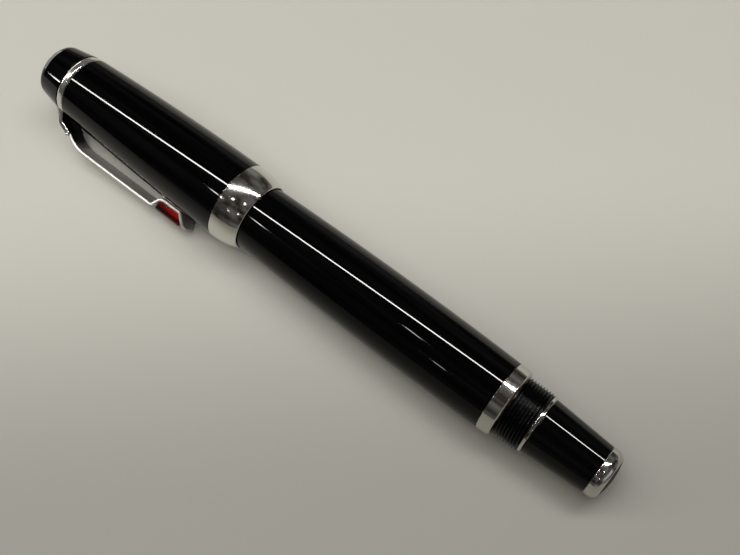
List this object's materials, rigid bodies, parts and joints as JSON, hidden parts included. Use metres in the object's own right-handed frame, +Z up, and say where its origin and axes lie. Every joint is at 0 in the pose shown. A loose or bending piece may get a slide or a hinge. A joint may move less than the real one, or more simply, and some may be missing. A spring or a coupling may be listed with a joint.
{
  "type": "fountain pen",
  "caption": "Compact fountain pen with a screw cap, a spring clip ending in a red stone, and a tail knob that turns to drive the nib out of the grip.",
  "frame": {"origin": "on the table, under the middle of the pen's outer box, with the pen lying capped on its cap, clip and barrel ring", "axes": "+X along the pen from the finial towards the tail, +Z up from the table"},
  "size_m": [0.1092, 0.0144, 0.0131],
  "materials": {
    "black_resin": "polished black resin",
    "silver_plate": "polished silver-coloured plating",
    "red_stone": "faceted red stone",
    "brass": "plain turned brass",
    "steel": "plain turned steel",
    "gold": "polished gold alloy",
    "feed_plastic": "moulded black plastic",
    "liner_plastic": "moulded dark plastic",
    "cartridge_plastic": "blown plastic, full of blue ink",
    "washer_plastic": "plain plastic"
  },
  "bodies": {
    "barrel": {"barrel": "black_resin", "barrel_ring": "silver_plate", "rear_bush": "brass", "grip_section": "black_resin", "section_ring": "silver_plate", "guide_tube": "brass"},
    "cap_liner": {"inner_cap": "liner_plastic"},
    "cap": {"cap_tube": "black_resin", "finial": "black_resin", "finial_screw": "steel", "clip_ring": "silver_plate", "cap_band": "silver_plate", "cap_thread_bush": "brass"},
    "clip": {"clip_arm": "silver_plate", "clip_stone": "red_stone"},
    "knob": {"turning_knob": "black_resin", "posting_collar": "black_resin", "knob_ring": "silver_plate", "end_cap": "silver_plate", "end_screw": "steel", "drive_shaft": "brass", "spiral_sleeve": "brass", "friction_washer": "washer_plastic"},
    "nib_carriage": {"carriage_tube": "brass", "carriage_pin_lower": "steel", "carriage_pin_upper": "steel", "nib_housing": "steel", "nib": "gold", "feed": "feed_plastic", "ink_cartridge": "cartridge_plastic"}
  },
  "joints": [
    {"name": "cap_pull", "type": "slide", "parent": "barrel", "child": "cap_liner", "axis": [-0.9998, 0, 0.0183], "range_m": [0, 0.04]},
    {"name": "cap_turn", "type": "hinge", "parent": "cap_liner", "child": "cap", "pos_m": [-0.01054, 0.0007, 0.00646], "axis": [-0.9998, 0, 0.0183], "range_deg": [0, 540]},
    {"name": "clip_flex", "type": "hinge", "parent": "cap", "child": "clip", "pos_m": [-0.04555, -0.00502, 0.00263], "axis": [-0.0144, 0.6156, -0.788], "range_deg": [0, 6], "stiffness_Nm_per_rad": 0.6},
    {"name": "knob_turn", "type": "hinge", "parent": "barrel", "child": "knob", "pos_m": [0.03718, 0.0007, 0.00559], "axis": [-0.9998, 0, 0.0183], "range_deg": [0, 720]},
    {"name": "nib_slide", "type": "slide", "parent": "barrel", "child": "nib_carriage", "axis": [-0.9998, 0, 0.0183], "range_m": [0, 0.013]}
  ],
  "couplings": [
    {"joint": "nib_slide", "follows": "knob_turn", "m_per_rad": 0.0010345}
  ]
}
